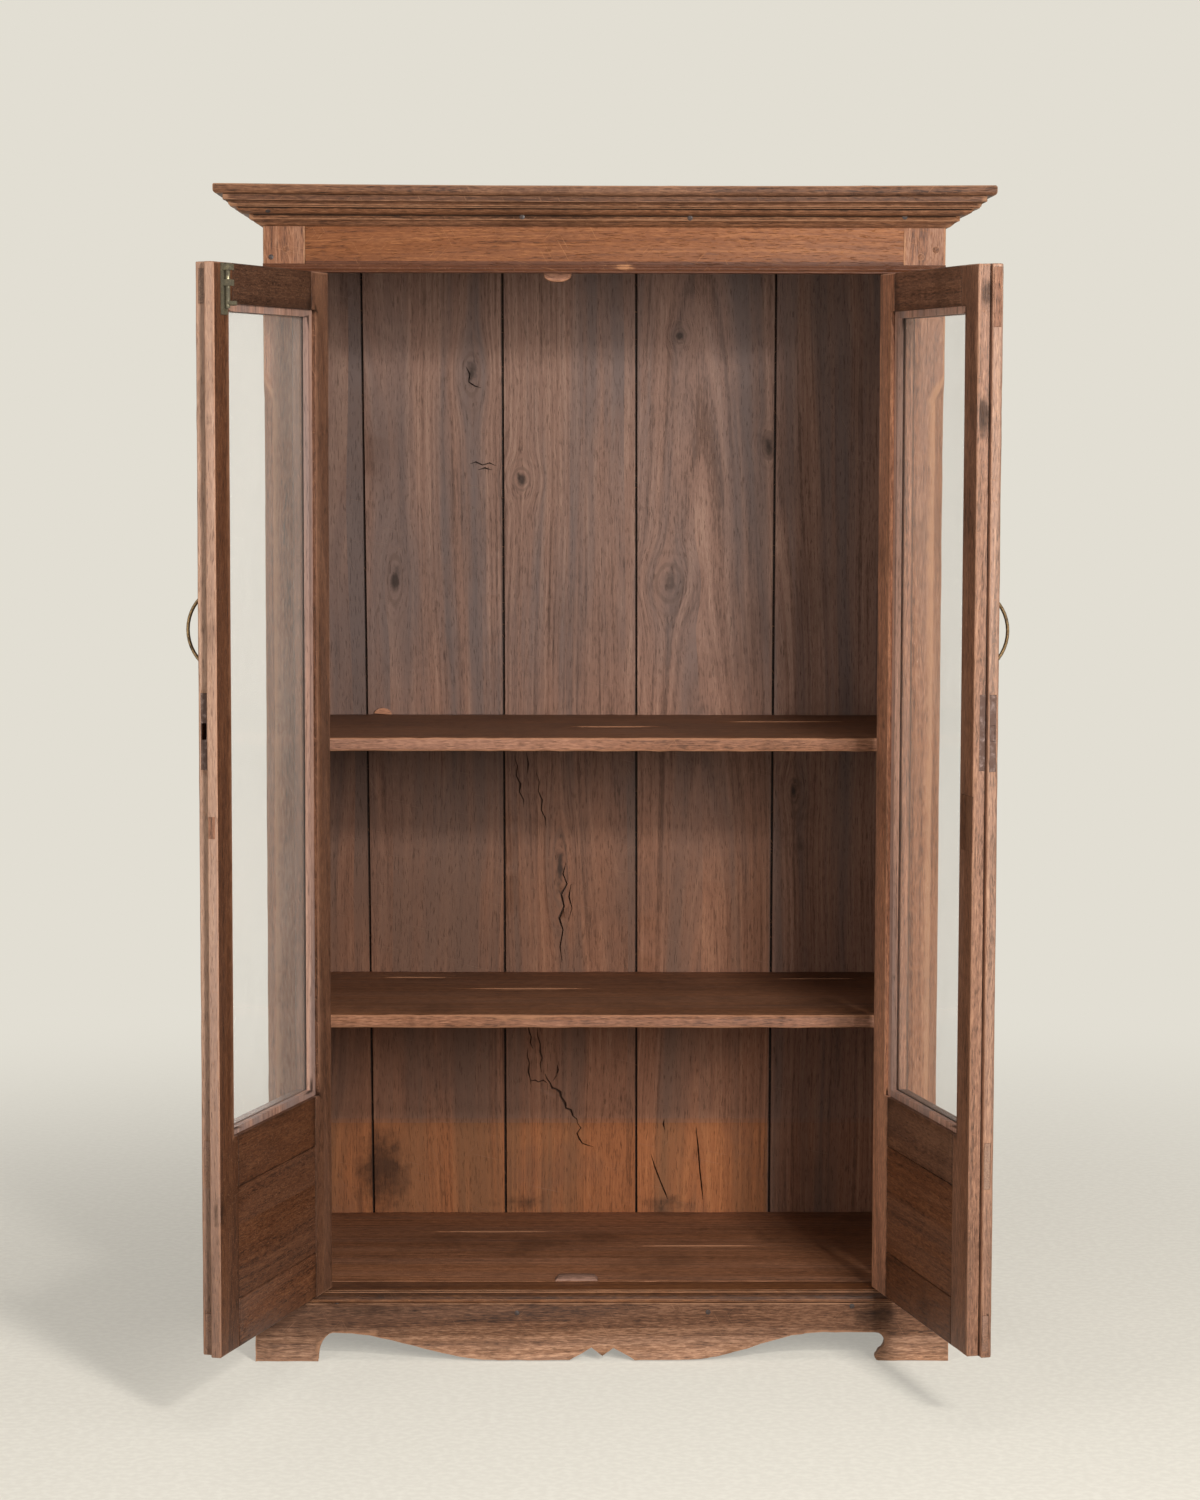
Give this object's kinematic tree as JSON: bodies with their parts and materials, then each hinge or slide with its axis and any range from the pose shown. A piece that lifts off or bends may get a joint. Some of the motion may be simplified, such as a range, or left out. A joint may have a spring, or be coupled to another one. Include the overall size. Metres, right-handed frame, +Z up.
{
  "type": "almirah",
  "caption": "Tall wooden cabinet with a crown moulding, scalloped plinth, inner shelves and hinged glazed doors with lower panels, bow handles, a sliding bolt and a lock.",
  "frame": {"origin": "on the floor, under the middle of the cabinet with its doors open as stored", "axes": "+Z up, +Y towards the back, +X towards the right seen from the front"},
  "size_m": [1.0805, 0.9268, 1.65],
  "materials": {
    "worn_teak": "old worn polish",
    "dark_teak": "dark old polish",
    "grey_teak": "dry, unpolished",
    "window_glass": "clear, old",
    "rusted_iron": "rusted",
    "old_brass": "tarnished",
    "dull_bronze": "dull, worn"
  },
  "bodies": {
    "carcass": {"post_front_left": "worn_teak", "post_front_right": "worn_teak", "post_rear_left": "worn_teak", "post_rear_right": "worn_teak", "frieze_rail": "worn_teak", "sill": "worn_teak", "top_board": "worn_teak", "cornice_front": "worn_teak", "cornice_left": "worn_teak", "cornice_right": "worn_teak", "plinth_front": "worn_teak", "plinth_left": "worn_teak", "plinth_right": "worn_teak", "door_stop_top": "worn_teak", "door_stop_bottom": "worn_teak", "side_board_left": "dark_teak", "side_board_right": "dark_teak", "bottom_board": "dark_teak", "shelf_upper": "dark_teak", "shelf_lower": "dark_teak", "cleat_upper_left": "dark_teak", "cleat_upper_right": "dark_teak", "cleat_lower_left": "dark_teak", "cleat_lower_right": "dark_teak", "back_board_1": "grey_teak", "back_board_2": "grey_teak", "back_board_3": "grey_teak", "back_board_4": "grey_teak", "back_board_5": "grey_teak", "left_upper_hinge_plate": "rusted_iron", "left_lower_hinge_plate": "rusted_iron", "right_upper_hinge_plate": "rusted_iron", "right_lower_hinge_plate": "rusted_iron"},
    "left_leaf": {"left_hinge_stile": "dark_teak", "left_meeting_stile": "dark_teak", "left_top_rail": "dark_teak", "left_lock_rail": "dark_teak", "left_bottom_rail": "dark_teak", "left_panel": "dark_teak", "left_glass": "window_glass", "left_glazing_bead": "grey_teak", "left_handle": "dull_bronze", "left_upper_hinge_leaf": "rusted_iron", "left_lower_hinge_leaf": "rusted_iron", "bolt_plate": "old_brass", "strike_plate": "rusted_iron"},
    "right_leaf": {"right_hinge_stile": "dark_teak", "right_meeting_stile": "dark_teak", "right_top_rail": "dark_teak", "right_lock_rail": "dark_teak", "right_bottom_rail": "dark_teak", "right_panel": "dark_teak", "right_glass": "window_glass", "right_glazing_bead": "grey_teak", "right_handle": "dull_bronze", "right_upper_hinge_leaf": "rusted_iron", "right_lower_hinge_leaf": "rusted_iron", "lock_case": "rusted_iron"},
    "bolt_slide": {"bolt_rod": "old_brass"},
    "lock_slide": {"lock_bolt": "rusted_iron"}
  },
  "joints": [
    {"name": "left_door_hinge", "type": "hinge", "parent": "carcass", "child": "left_leaf", "pos_m": [-0.4135, -0.0535, 0], "axis": [0, 0, -1], "range_deg": [-107.05, 58]},
    {"name": "right_door_hinge", "type": "hinge", "parent": "carcass", "child": "right_leaf", "pos_m": [0.4135, -0.0535, 0], "axis": [0, 0, 1], "range_deg": [-103, 62]},
    {"name": "bolt_travel", "type": "slide", "parent": "left_leaf", "child": "bolt_slide", "axis": [0, 0, 1], "range_m": [0, 0.018]},
    {"name": "lock_bolt_travel", "type": "slide", "parent": "right_leaf", "child": "lock_slide", "axis": [0.225, -0.9744, 0], "range_m": [0, 0.01]}
  ]
}
